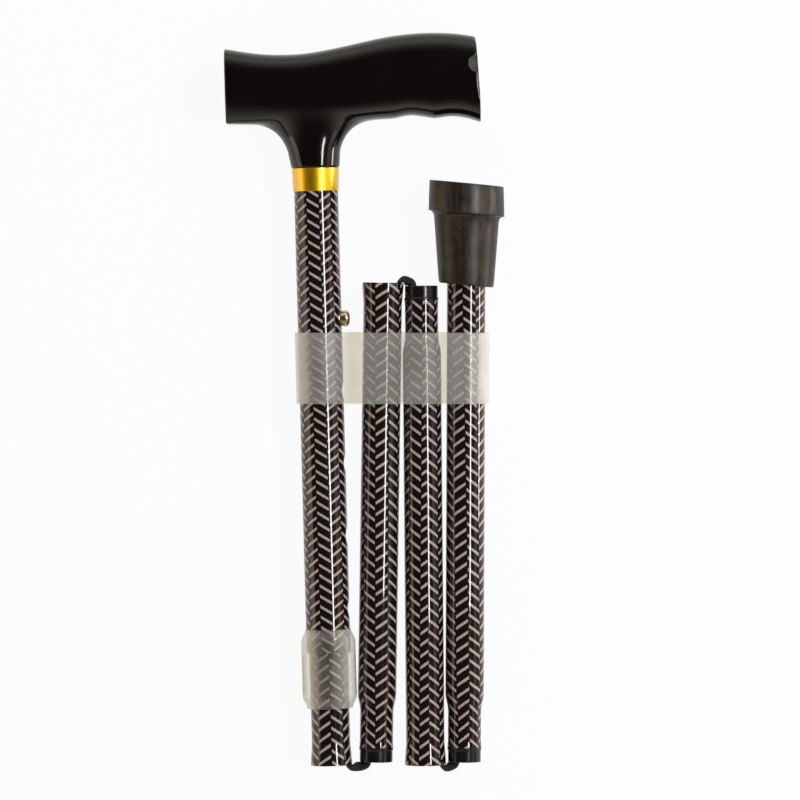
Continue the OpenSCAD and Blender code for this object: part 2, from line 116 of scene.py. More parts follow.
class CaneFittingSizes(PropertyGroup):
    """Sizes of the sleeve, ring, button, tip, cord and strap."""

    sleeve_r: length("Sleeve radius", "Outside radius of the lock sleeve", 0.0112)
    sleeve_length: length("Sleeve length", "Length of the lock sleeve", 0.0326)
    sleeve_cover: length("Sleeve cover", "How much of the sleeve covers the upper tube", 0.0095)
    sleeve_chamfer: length("Sleeve chamfer", "Length of the sleeve's end chamfers", 0.005)
    sleeve_fit: length("Sleeve fit", "Gap between the sleeve and a tube", 0.00015)
    rib_depth: length("Rib depth", "Depth of the sleeve's grip ribs", 0.00022)
    ribs: IntProperty(name="Ribs", description="Number of grip ribs round the sleeve", default=79, min=8)
    ring_h: length("Ring height", "Height of the gold ring", 0.0095)
    ring_wall: length("Ring wall", "Wall of the gold ring", 0.0006)
    button_r: length("Button radius", "Radius of the snap button", 0.0034)
    button_top: length("Button reach", "Reach of the button from the tube's axis", 0.0125)
    button_foot: length("Button foot", "Distance of the button's foot from the axis", 0.00515)
    leaf_t: length("Leaf thickness", "Thickness of the button's leaf spring", 0.0006)
    leaf_w: length("Leaf width", "Width of the leaf spring", 0.006)
    leaf_gap: length("Leaf gap", "Gap between the spring and the button's foot", 0.00015)
    leaf_back: length("Leaf back", "Distance of the spring's back from the tube's axis", 0.00634)
    leaf_knee: length("Leaf knee", "Distance of the spring's knees below the button", 0.0049)
    leaf_tail: length("Leaf tail", "Reach of the spring above the button", 0.007)
    leaf_fork: length("Leaf fork", "Distance of the spring's bend below the button", 0.024)
    tip_h: length("Tip height", "Height of the rubber tip", 0.042)
    tip_bore_depth: length("Tip bore", "Depth to which the tube enters the tip", 0.031)
    flange_r: length("Flange radius", "Radius of the tip's flange", 0.0158)
    flange_h: length("Flange height", "Height of the tip's flange", 0.0124)
    tip_waist_r: length("Waist radius", "Radius of the tip above its flange", 0.0134)
    tip_mouth_r: length("Mouth radius", "Radius of the tip at its mouth", 0.01135)
    tip_skew: degrees("Tip skew", "How far the tip sits askew on its tube", 5.2)
    cord_r: length("Cord radius", "Radius of the stretched elastic cord", 0.0016)
    loop_arch: plain("Loop arch", "How far a loop bulges between the tubes, as a share of the gap", 0.15)
    loop_closed: length("Closed loop", "Width to which a loop closes when its fold is open", 0.00112)
    loop_drop: length("Loop drop", "How far a closing loop's far leg draws out of its tube", 0.0015)
    loop_leg: length("Loop leg", "How far a loop reaches into a tube", 0.004)
    cord_exit: length("Cord exit", "Distance of the cord from the axis in a mouth", 0.0053)
    cord_entry: length("Cord entry", "Distance of the cord from the axis in a cap", 0.00355)
    cord_gap: length("Cord gap", "Gap between a loop and the run it joins", 0.00025)
    anchor_z: length("Anchor height", "Height of the upper anchor above the first mouth", 0.147)
    anchor_h: length("Anchor", "Height of an anchor", 0.006)
    strap_w: length("Strap width", "Width of the holding strap", 0.0293)
    strap_t: length("Strap thickness", "Thickness of the strap", 0.0008)
    strap_left_r: length("Strap left radius", "Inside radius of the strap round the upper tube", 0.0096)
    strap_right_r: length("Strap right radius", "Inside radius of the strap round the last tube", 0.0088)
    strap_rise: length("Strap rise", "Distance of the strap's inside from the middle tubes' axes", 0.0095)
    strap_dip: plain("Strap dip", "How far the strap dips between two tubes, as a share of the gap", 0.14)
    strap_sag: plain("Strap sag", "Share of the way between two tubes over which the strap dips", 0.68)
    strap_drop: length("Strap drop", "Distance of the strap below the button's middle", 0.0057)


class CaneHandleSizes(PropertyGroup):
    """Sizes of the handle."""

    arm: length("Length", "Length of the handle", 0.105)
    left: length("Left reach", "Reach of the handle to the left of the tube", 0.0363)
    height: length("Height", "Height of the handle above the tube", 0.054)
    depth: length("Depth", "Depth of the handle, front to back", 0.028)
    stem_r: length("Stem radius", "Radius of the stem at the ring", 0.00995)
    spigot_r: length("Spigot radius", "Radius of the spigot in the tube", 0.0076)
    spigot_length: length("Spigot length", "Length of the spigot in the tube", 0.028)
    rake: length("End rake", "Set-back of the right end's top", 0.0015)
    flat: plain("Flat underside", "Height at which the rounding ends in a flat, left of the stem", 0.78)
    flat_power: plain("Edge rounding", "Power of the rounded edge of the flat underside", 2.0)
    gate_r: length("Gate radius", "Radius of the moulding gate in the right end", 0.0033)
    gate_depth: length("Gate depth", "Depth of the gate", 0.0012)
    gate_skin: length("Gate skin", "Distance of the skin at the gate from the handle's middle", 0.0133)
    gate_share: plain("Gate place", "Height of the gate as a share of the handle's", 0.765)
    squareness: plain("Squareness", "Power of the arm's rounded section", 3.2)
    voxel: length("Skin step", "Step of the handle's skin", 0.0005)


class CanePrint(PropertyGroup):
    """The herringbone print on the tubes."""

    upper_column: degrees("Upper column", "Width of a column on the upper tube", 33.5)
    lower_column: degrees("Lower column", "Width of a column on a lower tube", 39.5)
    upper_pitch: length("Upper pitch", "Distance between bars on the upper tube", 0.0043)
    lower_pitch: length("Lower pitch", "Distance between bars on a lower tube", 0.0047)
    rise: plain("Rise", "Rise of a bar across its column, in pitches", 0.78)
    bar: plain("Bar", "Height of a bar, in pitches", 0.27)
    gutter: plain("Gutter", "Bare margin at each side of a column, in columns", 0.04)


class CaneColours(PropertyGroup):
    """Colours of the finishes."""

    ground: colour("Ground", "Printed tube's ground", (0.0075, 0.0045, 0.004))
    bars: colour("Bars", "Printed tube's bars", (0.46, 0.39, 0.39))
    handle: colour("Handle", "Gloss black of the handle", (0.0026, 0.0017, 0.0018))
    gate: colour("Gate", "Dull plastic of the moulding gate", (0.034, 0.031, 0.03))
    gold: colour("Gold", "Anodised ring", (0.97, 0.54, 0.014))
    sleeve: colour("Sleeve", "Milky lock sleeve", (0.78, 0.8, 0.8))
    sleeve_pass: colour("Through the sleeve", "What a skin of the sleeve lets through", (1, 0.987, 0.922))
    strap: colour("Strap", "Milky vinyl strap", (0.9, 0.92, 0.96))
    strap_pass: colour("Through the strap", "What a skin of the strap lets through", (1, 0.985, 0.93))
    button: colour("Button", "Warm nickel of the button", (0.80, 0.70, 0.52))
    cap: colour("Cap", "Black plastic caps", (0.006, 0.0055, 0.005))
    cord: colour("Cord", "Braided elastic", (0.005, 0.0042, 0.0036))
    rubber: colour("Rubber", "Rubber tip", (0.014, 0.0102, 0.008))
    bloom: colour("Bloom", "Grey bloom on the rubber", (0.11, 0.094, 0.07))
    bare: colour("Bare metal", "Bare aluminium inside the tubes", (0.56, 0.55, 0.54))
    steel: colour("Steel", "Spring and washer", (0.50, 0.50, 0.51))
    anchor: colour("Anchor", "Plastic anchors", (0.70, 0.69, 0.64))
    floor: colour("Floor", "Pale floor", (0.86, 0.86, 0.85))


# The handle's top and underside: shares of its length from the left, and of its height.
TOP_SHARES = [(0, 0.927), (0.12, 0.886), (0.21, 0.871), (0.32, 0.876), (0.44, 0.911), (0.61, 0.975),
              (0.7, 0.998), (0.8, 1.008), (0.9, 1), (0.97, 0.982), (1, 0.97)]
UNDER_SHARES = [(0, 0.352), (0.12, 0.342), (0.3, 0.335), (0.5, 0.34), (0.61, 0.357), (0.65, 0.357),
                (0.72, 0.381), (0.785, 0.366), (0.815, 0.354), (0.885, 0.366), (0.94, 0.352), (1, 0.313)]
# The share of the handle's length over which its underside is flattened.
FLAT_REACH = 0.35
# The handle's stem: shares of the handle's height, and of the stem's radius.
STEM_LEFT_SHARES = [(0, 1), (0.06, 1.06), (0.15, 1.18), (0.23, 1.41), (0.28, 1.66), (0.31, 1.9),
                    (0.33, 2.15), (0.36, 2.5), (0.5, 2.6)]
STEM_RIGHT_SHARES = [(0, 1), (0.08, 1.03), (0.15, 1.08), (0.2, 1.21), (0.245, 1.34), (0.295, 1.6),
                     (0.325, 1.85), (0.36, 2.3), (0.5, 2.5)]
STEM_DEPTH_SHARES = [(0, 1), (0.23, 1.025), (0.34, 1.12), (0.43, 1.27), (0.5, 1.35)]
# Small gaps, margins and roundings, in metres.
SEAT_GAP, HOLE_MARGIN = 0.00005, 0.006
RING_TAPER, RING_EDGE = 0.0003, 0.00018
SLEEVE_STEP, GRIP_EDGE, GRIP_DROP = 0.0001, 0.0006, 0.0055
BUTTON_FLANGE, BUTTON_FLANGE_H = 0.0009, 0.0006
BUTTON_ROUND, BUTTON_CROWN, BARREL_RISE = 0.0019, 0.0001, 0.0007
CAP_LIP, CAP_LIP_H, CAP_EDGE = 0.0003, 0.0009, 0.00025
TIP_EDGE, TIP_RUN_OUT, WASHER_ROOM = 0.0006, 0.0022, 0.0015
STRAP_EDGE = 0.0002
# The smoothed join of stem and arm, as a share of the handle's length and two of its height.
JOIN_WIDTH, JOIN_PLACE, JOIN_HEIGHT = 0.33, 0.36, 0.28
# Shares of the button's radius above its flange, at the tube's skin and at the top of the barrel's rise.
BARREL_SHARES = (0.9, 0.91, 0.97)
# The tip's outline in metres, outwards and towards the ground: from the waist's radius and the flange's
# upper face, from the flange's radius and upper face, and from the flange's radius and ground face.
TIP_FILLET = [(0.0003, -0.0012), (0.001, -0.0004)]
TIP_LIP = [(-0.0004, 0), (0, 0.0001), (-0.0002, 0.0006), (-0.0003, 0.006)]
TIP_TREAD = [(-0.0005, -0.0004), (-0.00065, -0.0001), (-0.0009, 0)]
# How the print lies on the upper tube and on each lower one, as wrap_print takes it.
UPPER_PRINT = {"first": 14.6, "twist": -45.0, "level": 0.063}
LOWER_PRINTS = {1: {"first": -38.4}, 2: {"first": -7.0, "twist": -105.0, "level": 0.046},
                3: {"first": 11.25 - 360, "number": 1, "seam": 11.25, "widen": 13.0, "level": 0.024},
                4: {"first": -49.0, "twist": -157.0, "level": 0.184}}


def smooth_share(pairs, x):
    """A smooth curve through a list of pairs."""
    i = 0
    while i < len(pairs) - 2 and x > pairs[i + 1][0]:
        i += 1

    def slope(k):
        a, b = pairs[max(k - 1, 0)], pairs[min(k + 1, len(pairs) - 1)]
        return (b[1] - a[1]) / (b[0] - a[0])

    (ax, ay), (bx, by) = pairs[i], pairs[i + 1]
    w = bx - ax
    t = (x - ax) / w
    ends = ay * (1 + 2 * t) * (1 - t) ** 2 + by * t * t * (3 - 2 * t)
    return ends + w * t * (1 - t) * (slope(i) * (1 - t) - slope(i + 1) * t)


def measures(context):
    return context.scene.cane_tubes, context.scene.cane_fittings


def tints():
    return bpy.context.scene.cane_colours


def section_frame(up, normal, origin):
    """A frame with x to the right, y to the back and z towards the handle."""
    right = up.cross(normal).normalized()
    m = Matrix.Identity(4)
    for i, axis in enumerate((right, -normal, up)):
        m.col[i][:3] = axis
    m.col[3][:3] = origin
    return m


def section_frames():
    """The four sections' frames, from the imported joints."""
    s = bpy.context.scene.cane_tubes
    normal = -Vector(JOINTS["fold_12"]["axis"]).normalized()
    up = -Vector(JOINTS["height_slide"]["axis"]).normalized()
    right = up.cross(normal).normalized()
    first = Vector(JOINTS["fold_12"]["pos_m"]) - right * s.spacing_12 / 2 + up * s.fold_drop
    frames = {1: section_frame(up, normal, first)}
    for n, name, spacing in ((2, "fold_12", s.spacing_12), (3, "fold_23", s.spacing_23),
                             (4, "fold_34", s.spacing_34)):
        joint = JOINTS[name]
        back = Matrix.Rotation(-math.radians(joint["range_deg"][1]), 3, Vector(joint["axis"]))
        up = -(back @ up)
        right = up.cross(normal).normalized()
        drop = s.fold_drop if n == 3 else -s.fold_drop
        frames[n] = section_frame(up, normal, Vector(joint["pos_m"]) + right * spacing / 2 + up * drop)
    return frames


def deselect():
    if bpy.context.object and bpy.context.object.mode != "OBJECT":
        bpy.ops.object.mode_set(mode="OBJECT")
    bpy.ops.object.select_all(action="DESELECT")


def pick(piece):
    deselect()
    piece.select_set(True)
    bpy.context.view_layer.objects.active = piece


def edit_all():
    bpy.ops.object.mode_set(mode="EDIT")
    bpy.ops.mesh.select_all(action="SELECT")


def extrude(step):
    bpy.ops.mesh.extrude_region_move(TRANSFORM_OT_translate={"value": step})


def apply_modifier(piece, kind, **settings):
    """Adds a modifier, sets it and applies it."""
    pick(piece)
    modifier = piece.modifiers.new(kind.lower(), kind)
    for key, value in settings.items():
        setattr(modifier, key, value)
    bpy.ops.object.modifier_apply(modifier=modifier.name)


def clean_skin(piece, angle=35):
    """Merges doubles, turns the faces outwards and shades the piece."""
    pick(piece)
    edit_all()
    bpy.ops.mesh.remove_doubles(threshold=1e-6)
    bpy.ops.mesh.normals_make_consistent(inside=False)
    bpy.ops.object.mode_set(mode="OBJECT")
    bpy.ops.object.shade_smooth_by_angle(angle=math.radians(angle))


def round_edges(piece, width, angle=30, segments=3):
    apply_modifier(piece, "BEVEL", width=width, segments=segments, limit_method="ANGLE",
                   angle_limit=math.radians(angle), harden_normals=False)


def circle(name, sides, radius=1, fill="NGON"):
    """Adds the ring of points that a piece is drawn out from."""
    deselect()
    bpy.ops.mesh.primitive_circle_add(vertices=sides, radius=radius, fill_type=fill, calc_uvs=False)
    piece = bpy.context.object
    piece.name = name
    return piece


def lathe(name, profile, closed=True, sides=None):
    """Draws a ring up through the (radius, height) points of a profile, upright at the origin."""
    r, z = profile[0]
    sides = sides or bpy.context.scene.cane_tubes.sides
    piece = circle(name, sides, r, "NOTHING" if closed else "NGON")
    edit_all()
    bpy.ops.transform.translate(value=(0, 0, z))
    for to_r, to_z in profile[1:] + (profile[:1] if closed else []):
        extrude((0, 0, to_z - z))
        bpy.ops.transform.resize(value=(to_r / r, to_r / r, 1), center_override=(0, 0, to_z))
        r, z = to_r, to_z
    bpy.ops.object.mode_set(mode="OBJECT")
    clean_skin(piece)
    return piece


def loft(name, rings, fill="NGON"):
    """Draws a skin out through rings of points, each of as many points as the first."""
    piece = circle(name, len(rings[0]), fill=fill)
    for v, place in zip(piece.data.vertices, rings[0]):
        v.co = place
    for ring, to_ring in zip(rings, rings[1:]):
        step = tuple(Vector(to_ring[0]) - Vector(ring[0]))
        bpy.ops.object.mode_set(mode="EDIT")
        extrude(step)
        bpy.ops.object.mode_set(mode="OBJECT")
        head = [v for v in piece.data.vertices if v.select]
        for v, place in zip(head, to_ring):
            v.co = place
    return piece


def eased(start, end, steps=5):
    """Points of a soft step from one (radius, height) point to another, without the first."""
    points = []
    for i in range(1, steps + 1):
        t = i / steps
        soft = t * t * (3 - 2 * t)
        points.append((start[0] + (end[0] - start[0]) * soft, start[1] + (end[1] - start[1]) * t))
    return points


def walled(outside, wall):
    """A tube's closed profile, from the (radius, height) points of its outside."""
    return outside + [(r - wall, z) for r, z in outside[::-1]]


def soften(route, times=3):
    """Rounds the corners of a route of points, whose ends stay."""
    for _ in range(times):
        cut = [route[0]]
        for a, b in zip(route, route[1:]):
            cut += [tuple(p + (q - p) * t for p, q in zip(a, b)) for t in (0.25, 0.75)]
        route = cut + [route[-1]]
    return route


def combine(piece, tool, operation="DIFFERENCE"):
    """Cuts a tool's shape out of a piece, or joins it on, and clears the tool away."""
    apply_modifier(piece, "BOOLEAN", operation=operation, solver="EXACT", object=tool)
    bpy.data.objects.remove(tool)


def bore(piece, radius, height):
    """Bores a round hole through the right wall of an upright tube."""
    deselect()
    reach = bpy.context.scene.cane_tubes.upper_r
    bpy.ops.mesh.primitive_cylinder_add(vertices=48, radius=radius, depth=2 * reach,
                                        location=(reach, 0, height), rotation=(0, math.pi / 2, 0))
    combine(piece, bpy.context.object)


def settle(piece, matrix, body, slot, node, *finishes):
    """Gives a piece its finishes, puts it in its place on its body, and hides the CAD node that it stands
    for.
    """
    for finish in finishes:
        piece.data.materials.append(finish)
    pick(piece)
    piece.matrix_world = matrix
    bpy.ops.object.transform_apply(location=True, rotation=True, scale=True)
    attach(piece, body)
    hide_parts(node)


def two_tone(piece, first, second, chosen):
    """Gives a piece its first finish, and the second to the faces that are chosen."""
    piece.data.materials.clear()
    for finish in (first, second):
        piece.data.materials.append(finish)
    for face in piece.data.polygons:
        face.material_index = int(chosen(face))


def wrap_print(piece, column, pitch, first, number=0, seam=180.0, twist=0.0, widen=0.0, level=0.0):
    """Lays the print's columns round a tube and its bars along it, as a UV map.

    Angles are in degrees from the front. For each metre above the level, the columns turn by the twist and
    grow by widen.
    """
    mesh = piece.data
    layer = mesh.uv_layers.new(name="print")
    for face in mesh.polygons:
        middle = math.degrees(math.atan2(face.center.x, -face.center.y))
        middle = seam - (seam - middle) % 360
        for i in face.loop_indices:
            p = mesh.vertices[mesh.loops[i].vertex_index].co
            angle = middle + math.remainder(math.degrees(math.atan2(p.x, -p.y)) - middle, 360)
            rise = p.z - level
            turn = (angle - first - twist * rise) / (math.degrees(column) + widen * rise)
            layer.data[i].uv = (number + turn, p.z / pitch)


def print_tube(piece, column, pitch, lie):
    """Wraps a tube in the printed foil, and leaves its inner wall and cut ends bare."""
    bare_tint = tints().bare
    foil = bpy.data.materials.get("printed_foil") or printed_foil()
    bare = bpy.data.materials.get("bare_aluminium") or bright_metal("bare_aluminium", bare_tint, rough=0.34)
    outward_least = 0.3

    def is_bare(face):
        outward = Vector((face.center.x, face.center.y, 0)).normalized()
        return face.normal.dot(outward) < outward_least

    clean_skin(piece)
    wrap_print(piece, column, pitch, **lie)
    two_tone(piece, foil, bare, is_bare)


def draw_cord(node, edges, matrix, body):
    """Draws a cord between pairs of (x, z) points of its two edges in a section's plane.

    It has a UV map for its braid. Where the edges come closer than the cord's width it is pressed flat, and
    is that much wider in depth.
    """
    d = bpy.context.scene.cane_fittings
    sides = 16
    turns = [math.tau * j / sides for j in range(sides)]
    points, halves, rings = [], [], []
    for (ax, az), (bx, bz) in edges:
        points.append(Vector((ax + bx, 0, az + bz)) / 2)
        halves.append(Vector((ax - bx, 0, az - bz)) / 2)
        deep = Vector((0, d.cord_r * (d.cord_r / halves[-1].length) ** 0.5, 0))
        rings.append([points[-1] + math.cos(a) * halves[-1] + math.sin(a) * deep for a in turns])
    cord = loft(f"{node}_braid", rings)
    clean_skin(cord, angle=50)
    lengths = [0.0]
    for a, b in zip(points, points[1:]):
        lengths.append(lengths[-1] + (b - a).length)
    layer = cord.data.uv_layers.new(name="braid")
    for face in cord.data.polygons:
        spots = []
        for i in face.loop_indices:
            p = cord.data.vertices[cord.data.loops[i].vertex_index].co
            near = min(range(len(points)), key=lambda k: (p - points[k]).length)
            away = p - points[near]
            spots.append((i, math.atan2(away.y, away.dot(halves[near].normalized())), lengths[near]))
        first = spots[0][1]
        for i, angle, along in spots:
            layer.data[i].uv = ((first + math.remainder(angle - first, math.tau)) / math.tau, along)
    braid = bpy.data.materials.get("braided_elastic") or braided_cord("braided_elastic")
    settle(cord, matrix, body, "elastic_cord", node, braid)
    return cord


class Bench:
    """A node tree, wired up node by node."""

    def __init__(self, tree):
        self.nodes = tree.nodes
        self.links = tree.links

    def add(self, kind, inputs=(), **settings):
        node = self.nodes.new("ShaderNode" + kind)
        for key, value in settings.items():
            setattr(node, key, value)
        for key, value in (inputs.items() if isinstance(inputs, dict) else enumerate(inputs)):
            if isinstance(value, bpy.types.NodeSocket):
                self.links.new(value, node.inputs[key])
            else:
                node.inputs[key].default_value = value
        return node

    def math(self, operation, *inputs):
        return self.add("Math", inputs, operation=operation).outputs[0]

    def times(self, a, b):
        return self.math("MULTIPLY", a, b)

    def object_point(self, scale=(1, 1, 1), turn=(0, 0, 0)):
        point = self.add("TexCoord").outputs["Object"]
        return self.add("Mapping", {"Vector": point, "Scale": scale, "Rotation": turn}).outputs[0]

    def noise(self, scale, detail=3.0, rough=0.55, point=None):
        """Noise on the object's own coordinates, or on another point."""
        if point is None:
            point = self.object_point()
        return self.add("TexNoise", {"Vector": point, "Scale": scale, "Detail": detail,
                                     "Roughness": rough}).outputs["Fac"]

    def streaks(self, detail, rough=0.55, **stretch):
        """Noise on the object's own coordinates, stretched to lines."""
        return self.noise(1.0, detail, rough, self.object_point(**stretch))

    def spread(self, value, low, high, to_low, to_high, kind="LINEAR"):
        return self.add("MapRange", {"Value": value, "From Min": low, "From Max": high, "To Min": to_low,
                                     "To Max": to_high}, interpolation_type=kind).outputs[0]

    def grade(self, noise, to_low, to_high):
        """Spreads the middle of a noise, where most of it lies, over a range."""
        return self.spread(noise, 0.3, 0.7, to_low, to_high)

    def blend(self, share, a, b):
        node = self.add("Mix", data_type="RGBA")
        for index, value in ((0, share), (6, a), (7, b)):
            if isinstance(value, bpy.types.NodeSocket):
                self.links.new(value, node.inputs[index])
            else:
                node.inputs[index].default_value = (*value, 1)
        return node.outputs[2]

    def shades(self, share, tint, dark, light):
        """A tint that goes from a darker to a lighter shade of itself."""
        return self.blend(share, shaded(tint, dark), shaded(tint, light))

    def bump(self, height, strength, distance):
        return self.add("Bump", {"Height": height, "Strength": strength, "Distance": distance}).outputs[0]

    def mix(self, share, a, b):
        return self.add("MixShader", [share, a, b]).outputs[0]

    def show(self, shader, output="Material Output"):
        self.links.new(shader, self.nodes[output].inputs["Surface"])


class Finish(Bench):
    """A procedural material round one Principled shader."""

    def __init__(self, name):
        self.material = bpy.data.materials.new(name)
        self.material.use_nodes = True
        super().__init__(self.material.node_tree)
        self.shader = self.nodes["Principled BSDF"]

    def set(self, **inputs):
        for key, value in inputs.items():
            socket = self.shader.inputs[key.replace("_", " ").title().replace("Ior", "IOR")]
            if isinstance(value, bpy.types.NodeSocket):
                self.links.new(value, socket)
            elif isinstance(value, (int, float)):
                socket.default_value = value
            else:
                socket.default_value = (*value, 1)
        return self.material


def shaded(colour_value, share):
    return tuple(min(1.0, c * share) for c in colour_value)


def printed_foil():
    """Clear-coated black foil with pinkish grey herringbone bars."""
    tint, look = tints(), bpy.context.scene.cane_print
    f = Finish("printed_foil")
    uv = f.add("UVMap", uv_map="print").outputs[0]
    split = f.add("SeparateXYZ", [uv])
    column = f.math("FLOOR", split.outputs[0])
    across = f.math("SUBTRACT", split.outputs[0], column)
    odd = f.math("FLOORED_MODULO", column, 2.0)
    side = f.math("MULTIPLY_ADD", odd, 2.0, -1.0)
    slant = f.times(f.math("SUBTRACT", across, 0.5), look.rise)
    shifted = f.math("MULTIPLY_ADD", side, slant, split.outputs[1])
    phase = f.math("MULTIPLY_ADD", odd, 0.5, shifted)

    def near_middle(value, reach, blur=0.02):
        """One within a reach of a half, nought outside it, with a soft edge."""
        away = f.math("ABSOLUTE", f.math("SUBTRACT", value, 0.5))
        return f.spread(away, reach + blur, reach - blur, 0.0, 1.0, "SMOOTHSTEP")

    ink = f.times(near_middle(f.math("FRACT", phase), look.bar / 2),
                  near_middle(across, 0.5 - look.gutter))
    grain = f.noise(900.0, 4.0)
    bars = f.shades(grain, tint.bars, 0.78, 1.16)
    ground = f.shades(grain, tint.ground, 0.7, 1.35)
    peel = f.noise(260.0, 2.0)
    return f.set(base_color=f.blend(ink, ground, bars), roughness=f.grade(grain, 0.22, 0.36),
                 normal=f.bump(peel, 0.03, 0.0002), specular_ior_level=0.05, coat_weight=1.0,
                 coat_roughness=0.03, coat_ior=1.5)


def gloss_black():
    """Gloss black moulded plastic with faint swirls and fine scratches."""
    f = Finish("gloss_black_plastic")
    cloud = f.noise(70.0, 5.0)
    scratch = f.spread(f.streaks(2.0, scale=(30, 700, 700), turn=(0, 0, 1.1)), 0.72, 0.78, 0.0, 1.0)
    pores = f.noise(1400.0, 2.0)
    rough = f.math("ADD", f.grade(cloud, 0.09, 0.15), f.times(scratch, 0.12))
    height = f.math("MULTIPLY_ADD", scratch, -0.6, f.times(pores, 0.15))
    return f.set(base_color=f.shades(cloud, tints().handle, 0.8, 1.5),
                 roughness=rough, normal=f.bump(height, 0.06, 0.0001), ior=1.5)


def gold_anodised():
    """Gold anodised aluminium with fine turning lines."""
    f = Finish("gold_anodised")
    lines = f.streaks(3.0, scale=(40, 5200, 40))
    cloud = f.noise(160.0)
    return f.set(base_color=f.shades(cloud, tints().gold, 0.9, 1.1), metallic=1.0,
                 roughness=f.grade(lines, 0.34, 0.44), normal=f.bump(lines, 0.12, 0.00004),
                 coat_weight=1.0, coat_roughness=0.12)


def milky(name, tint, through, veil, haze):
    """Frosted milky plastic: a skin veils what is behind it, the more the flatter it is looked through."""
    f = Finish(name)
    cloud = f.noise(90.0, 4.0)
    fine = f.noise(700.0)
    f.set(base_color=f.shades(cloud, tint, 0.95, 1.04), roughness=f.grade(cloud, 0.4, 0.5),
          normal=f.bump(fine, 0.04, 0.0001), coat_weight=1.0, coat_roughness=0.4, coat_ior=2.6)
    slant = f.add("LayerWeight", {"Blend": 0.5}).outputs["Facing"]
    thin = f.grade(cloud, veil - 0.02, veil + 0.02)
    share = f.math("MULTIPLY_ADD", slant, haze, thin)
    behind = f.add("BsdfTransparent", {"Color": (*through, 1)}).outputs[0]
    f.show(f.mix(share, behind, f.shader.outputs[0]))
    return f.material


def bright_metal(name, tint, rough, lines=(1800, 1800, 60)):
    """Drawn or turned metal with fine lines."""
    f = Finish(name)
    drawn = f.streaks(3.0, scale=lines)
    return f.set(base_color=f.shades(drawn, tint, 0.88, 1.08), metallic=1.0,
                 roughness=f.grade(drawn, rough * 0.8, rough * 1.25), normal=f.bump(drawn, 0.08, 0.00005))


def moulded_plastic(name, tint, rough):
    """Plain moulded plastic with a slight mottle."""
    f = Finish(name)
    cloud = f.noise(240.0, 4.0)
    return f.set(base_color=f.shades(cloud, tint, 0.75, 1.3),
                 roughness=f.grade(cloud, rough - 0.04, rough + 0.06), normal=f.bump(cloud, 0.06, 0.0001))


def tip_rubber():
    """Dark rubber with a grey bloom, streaked along the tip."""
    tint = tints()
    f = Finish("tip_rubber")
    mottle = f.noise(110.0, 6.0, 0.62)
    streak = f.streaks(4.0, 0.6, scale=(420, 38, 420))
    fine = f.noise(1500.0)
    bloom = f.times(f.spread(mottle, 0.42, 0.75, 0.0, 0.7), f.spread(streak, 0.4, 0.68, 0.1, 1.0))
    scuff = f.streaks(2.0, scale=(1500, 130, 1500), turn=(0, 0, 0.12))
    scuff = f.times(f.spread(scuff, 0.66, 0.74, 0.0, 0.8), f.spread(mottle, 0.5, 0.62, 0.0, 1.0))
    base = f.blend(f.math("MAXIMUM", bloom, scuff), tint.rubber, tint.bloom)
    height = f.math("MULTIPLY_ADD", mottle, 0.6, f.times(fine, 0.25))
    return f.set(base_color=base, roughness=f.spread(streak, 0.35, 0.7, 0.3, 0.5),
                 normal=f.bump(height, 0.22, 0.0003), specular_ior_level=0.38)


def braided_cord(name, mapped=True):
    """Black braided elastic: two sets of yarn crossing on the bias, with painted shade in the grooves and a
    painted highlight on the yarn crowns.
    """
    tint = tints()
    f = Finish(name)
    yarns_round, picks_per_metre = 8.0, 520.0
    if mapped:
        uv = f.add("UVMap", uv_map="braid").outputs[0]
    else:
        uv = f.object_point(scale=(60, 1, 60))
    split = f.add("SeparateXYZ", [uv])
    around = f.times(split.outputs[0], yarns_round)
    along = f.times(split.outputs[1], picks_per_metre)
    right = f.math("PINGPONG", f.math("ADD", around, along), 0.5)
    left = f.math("PINGPONG", f.math("SUBTRACT", around, along), 0.5)
    weave = f.times(f.math("MAXIMUM", right, left), 2.0)
    fuzz = f.noise(2600.0)
    # Painted shade and highlight: the colour follows the weave's height, darker in the grooves and lighter on
    # the yarn crowns.
    base = f.shades(f.spread(weave, 0.35, 1.0, 0.0, 1.0), tint.cord, 0.35, 1.9)
    return f.set(base_color=base, roughness=f.grade(fuzz, 0.55, 0.8),
                 normal=f.bump(f.math("MULTIPLY_ADD", fuzz, 0.3, weave), 0.55, 0.0002))


